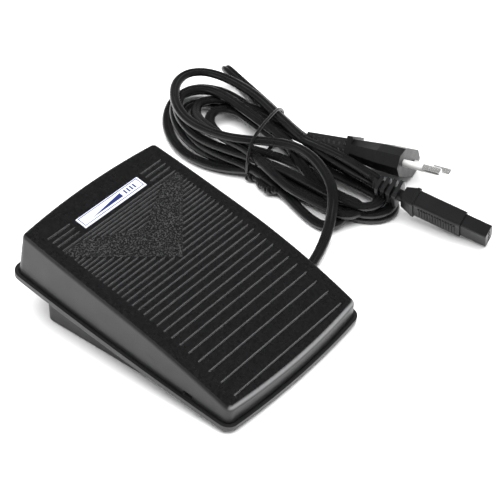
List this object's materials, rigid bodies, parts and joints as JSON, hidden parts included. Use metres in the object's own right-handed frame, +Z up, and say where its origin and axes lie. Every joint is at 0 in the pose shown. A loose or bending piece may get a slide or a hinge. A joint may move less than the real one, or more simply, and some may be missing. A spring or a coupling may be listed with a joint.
{
  "type": "sewing machine foot control",
  "caption": "Wedge foot control: a ribbed rocking treadle over a fixed base with speed electronics, and a tied cord hank with mains plug and machine connector.",
  "frame": {"origin": "middle of the control's footprint, on the floor", "axes": "+Y from the low heel end to the high toe end, +Z up, +X to the side where the cord leaves"},
  "size_m": [0.1986, 0.1925, 0.0449],
  "materials": {
    "black_plastic": "satin",
    "label_white": "gloss",
    "steel": "satin",
    "spring_steel": "satin",
    "foot_rubber": "matte",
    "board": "matte",
    "semiconductor": "matte",
    "heatsink_aluminium": "satin",
    "ferrite": "matte",
    "copper_winding": "gloss",
    "component_blue": "gloss",
    "capacitor_yellow": "gloss",
    "trimmer_white": "gloss",
    "terminal_green": "satin",
    "terminal_brass": "satin",
    "control_case": "satin",
    "cord_pvc": "satin",
    "core_insulation": "satin",
    "tie_plastic": "gloss",
    "plug_plastic": "satin",
    "plug_metal": "polished",
    "sleeve_white": "satin"
  },
  "bodies": {
    "base": {"base_tray": "black_plastic", "foot_toe_left": "foot_rubber", "foot_toe_right": "foot_rubber", "foot_heel_left": "foot_rubber", "foot_heel_right": "foot_rubber", "hinge_rod": "steel", "circuit_board": "board", "board_screws": "steel", "triac": "semiconductor", "heatsink": "heatsink_aluminium", "heatsink_screw": "steel", "choke_core": "ferrite", "choke_winding": "copper_winding", "resistors": "component_blue", "diac": "component_blue", "suppression_capacitor": "capacitor_yellow", "timing_capacitor": "capacitor_yellow", "trimmer": "trimmer_white", "terminal_block": "terminal_green", "terminal_screws": "terminal_brass", "speed_control_case": "control_case", "plunger_spring": "spring_steel", "return_spring_left": "spring_steel", "return_spring_right": "spring_steel", "cord_gland": "cord_pvc", "cord_clamp": "control_case", "clamp_screws": "steel", "cord_tail": "cord_pvc", "cord_cores": "core_insulation", "pedal_cord": "cord_pvc", "cord_hank": "cord_pvc", "twist_tie": "tie_plastic", "plug_body": "plug_plastic", "plug_pins": "plug_metal", "pin_sleeves": "sleeve_white", "plug_strain_relief": "cord_pvc", "connector_body": "plug_plastic", "connector_nose": "plug_plastic", "connector_contacts": "terminal_brass", "connector_strain_relief": "cord_pvc"},
    "treadle": {"treadle_cover": "black_plastic", "housing_rim": "black_plastic", "label_plate": "label_white", "housing_screws": "steel"},
    "plunger": {"speed_plunger": "trimmer_white"}
  },
  "joints": [
    {"name": "treadle_hinge", "type": "hinge", "parent": "base", "child": "treadle", "pos_m": [0, -0.044, 0.008], "axis": [-1, 0, 0], "range_deg": [0, 5], "stiffness_Nm_per_rad": 5, "springref_deg": -3.44, "deforming": ["return_spring_left", "return_spring_right"]},
    {"name": "plunger_slide", "type": "slide", "parent": "base", "child": "plunger", "axis": [0, 0, -1], "range_m": [0, 0.0046], "stiffness_N_per_m": 80, "springref_m": -0.003, "deforming": ["plunger_spring"]}
  ],
  "couplings": [
    {"joint": "plunger_slide", "follows": "treadle_hinge", "m_per_rad": 0.052}
  ]
}
